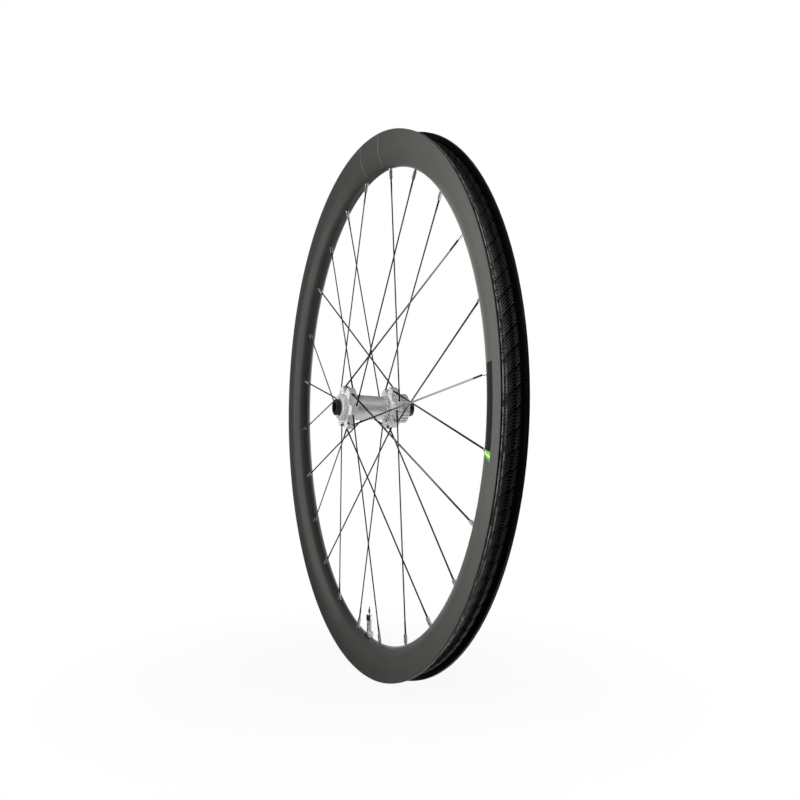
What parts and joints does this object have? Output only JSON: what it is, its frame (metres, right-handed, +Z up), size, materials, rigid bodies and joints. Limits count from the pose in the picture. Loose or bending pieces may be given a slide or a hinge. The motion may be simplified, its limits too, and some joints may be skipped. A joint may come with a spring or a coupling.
{
  "type": "bicycle wheel",
  "caption": "Front bicycle wheel for a disc brake, with a deep carbon rim, bladed spokes, a silver hub and a valve; no tyre.",
  "frame": {"origin": "the wheel's centre, on the axle line halfway between the two dropout faces", "axes": "+Y along the axle towards the brake side (the bicycle's left), +X the direction of travel, +Z up"},
  "size_m": [0.6339, 0.1, 0.634],
  "materials": {
    "carbon": "matte carbon laminate",
    "silver_alloy": "polished",
    "black_alloy": "black anodised",
    "black_wire": "satin black",
    "bearing_steel": "ground",
    "bright_metal": "bright plated",
    "rubber": "matt black"
  },
  "bodies": {
    "axle": {"axle": "black_alloy", "right_end_cap": "black_alloy", "left_end_cap": "black_alloy", "right_bearing_inner_race": "bearing_steel", "left_bearing_inner_race": "bearing_steel"},
    "wheel": {"hub_shell": "silver_alloy", "left_bearing_inner_seal": "rubber", "left_bearing_outer_race": "bearing_steel", "left_bearing_outer_seal": "rubber", "left_dust_seal": "silver_alloy", "nipples": "silver_alloy", "right_bearing_inner_seal": "rubber", "right_bearing_outer_race": "bearing_steel", "right_bearing_outer_seal": "rubber", "right_dust_seal": "silver_alloy", "rim": "carbon", "spoke_left_01": "black_wire", "spoke_left_02": "black_wire", "spoke_left_03": "black_wire", "spoke_left_04": "black_wire", "spoke_left_05": "black_wire", "spoke_left_06": "black_wire", "spoke_left_07": "black_wire", "spoke_left_08": "black_wire", "spoke_left_09": "black_wire", "spoke_left_10": "black_wire", "spoke_left_11": "black_wire", "spoke_left_12": "black_wire", "spoke_right_01": "black_wire", "spoke_right_02": "black_wire", "spoke_right_03": "black_wire", "spoke_right_04": "black_wire", "spoke_right_05": "black_wire", "spoke_right_06": "black_wire", "spoke_right_07": "black_wire", "spoke_right_08": "black_wire", "spoke_right_09": "black_wire", "spoke_right_10": "black_wire", "spoke_right_11": "black_wire", "spoke_right_12": "black_wire", "valve_base": "rubber", "valve_core": "bright_metal", "valve_lock_nut": "bright_metal", "valve_nut_gasket": "rubber", "valve_stem": "bright_metal"},
    "valve_pin": {"valve_pin": "bright_metal", "valve_thumb_nut": "bright_metal"}
  },
  "joints": [
    {"name": "wheel_spin", "type": "hinge", "parent": "axle", "child": "wheel", "pos_m": [0, 0, 0], "axis": [0, 1, 0], "continuous": true},
    {"name": "valve_pin_press", "type": "slide", "parent": "wheel", "child": "valve_pin", "axis": [-0.0541, 0, -0.9985], "range_m": [0, 0.002], "stiffness_N_per_m": 300, "springref_m": -0.001}
  ]
}
